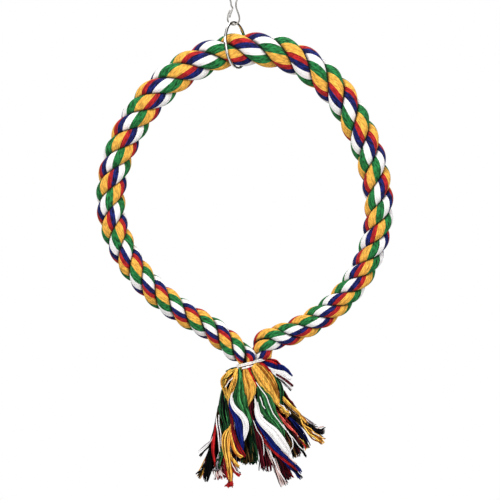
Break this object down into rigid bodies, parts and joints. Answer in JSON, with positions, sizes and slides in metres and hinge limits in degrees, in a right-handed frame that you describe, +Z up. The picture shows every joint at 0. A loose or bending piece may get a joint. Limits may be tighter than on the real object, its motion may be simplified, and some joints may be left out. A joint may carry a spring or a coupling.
{
  "type": "rope perch",
  "caption": "Bird perch of thick multicoloured cotton rope bent into a ring, tied at the foot into a tassel and hung by a steel ring from a bent-wire clip.",
  "frame": {"origin": "inside the top of the clip's upper loop, where a cage hook or bar carries the perch", "axes": "+Z up; the rope ring stands in the XZ plane with +X to the right as seen from the front; -Y is the front"},
  "size_m": [0.2789, 0.0787, 0.4708],
  "materials": {
    "plated_steel": "bright nickel plate",
    "core_steel": "drawn wire, hidden in the rope",
    "tie_cotton": "twisted cotton cord",
    "green_cotton": "soft cotton yarn",
    "orange_cotton": "soft cotton yarn",
    "white_cotton": "soft cotton yarn",
    "red_cotton": "soft cotton yarn",
    "blue_cotton": "soft cotton yarn"
  },
  "bodies": {
    "hanger": {"hanging_clip": "plated_steel"},
    "link": {"lift_ring": "plated_steel"},
    "perch": {"strand_a": "green_cotton", "strand_b": "orange_cotton", "strand_c": "blue_cotton", "core_wire": "core_steel", "tie_cord": "tie_cotton", "right_a_green_lock": "green_cotton", "right_a_orange_lock": "orange_cotton", "right_a_white_lock": "white_cotton", "right_a_red_lock": "red_cotton", "right_a_blue_lock": "blue_cotton", "right_b_green_lock": "green_cotton", "right_b_orange_lock": "orange_cotton", "right_b_white_lock": "white_cotton", "right_b_red_lock": "red_cotton", "right_b_blue_lock": "blue_cotton", "right_c_green_lock": "green_cotton", "right_c_orange_lock": "orange_cotton", "right_c_white_lock": "white_cotton", "right_c_red_lock": "red_cotton", "right_c_blue_lock": "blue_cotton", "left_a_green_lock": "green_cotton", "left_a_orange_lock": "orange_cotton", "left_a_white_lock": "white_cotton", "left_a_red_lock": "red_cotton", "left_a_blue_lock": "blue_cotton", "left_b_green_lock": "green_cotton", "left_b_orange_lock": "orange_cotton", "left_b_white_lock": "white_cotton", "left_b_red_lock": "red_cotton", "left_b_blue_lock": "blue_cotton", "left_c_green_lock": "green_cotton", "left_c_orange_lock": "orange_cotton", "left_c_white_lock": "white_cotton", "left_c_red_lock": "red_cotton", "left_c_blue_lock": "blue_cotton"}
  },
  "joints": [
    {"name": "ring_swing", "type": "hinge", "parent": "hanger", "child": "link", "pos_m": [0, 0, -0.0369], "axis": [1, 0, 0], "range_deg": [-45, 45]},
    {"name": "perch_sway", "type": "hinge", "parent": "link", "child": "perch", "pos_m": [0.00412, 0, -0.0772], "axis": [-0.4347, -0.8996, -0.0419], "range_deg": [-18, 18]}
  ]
}
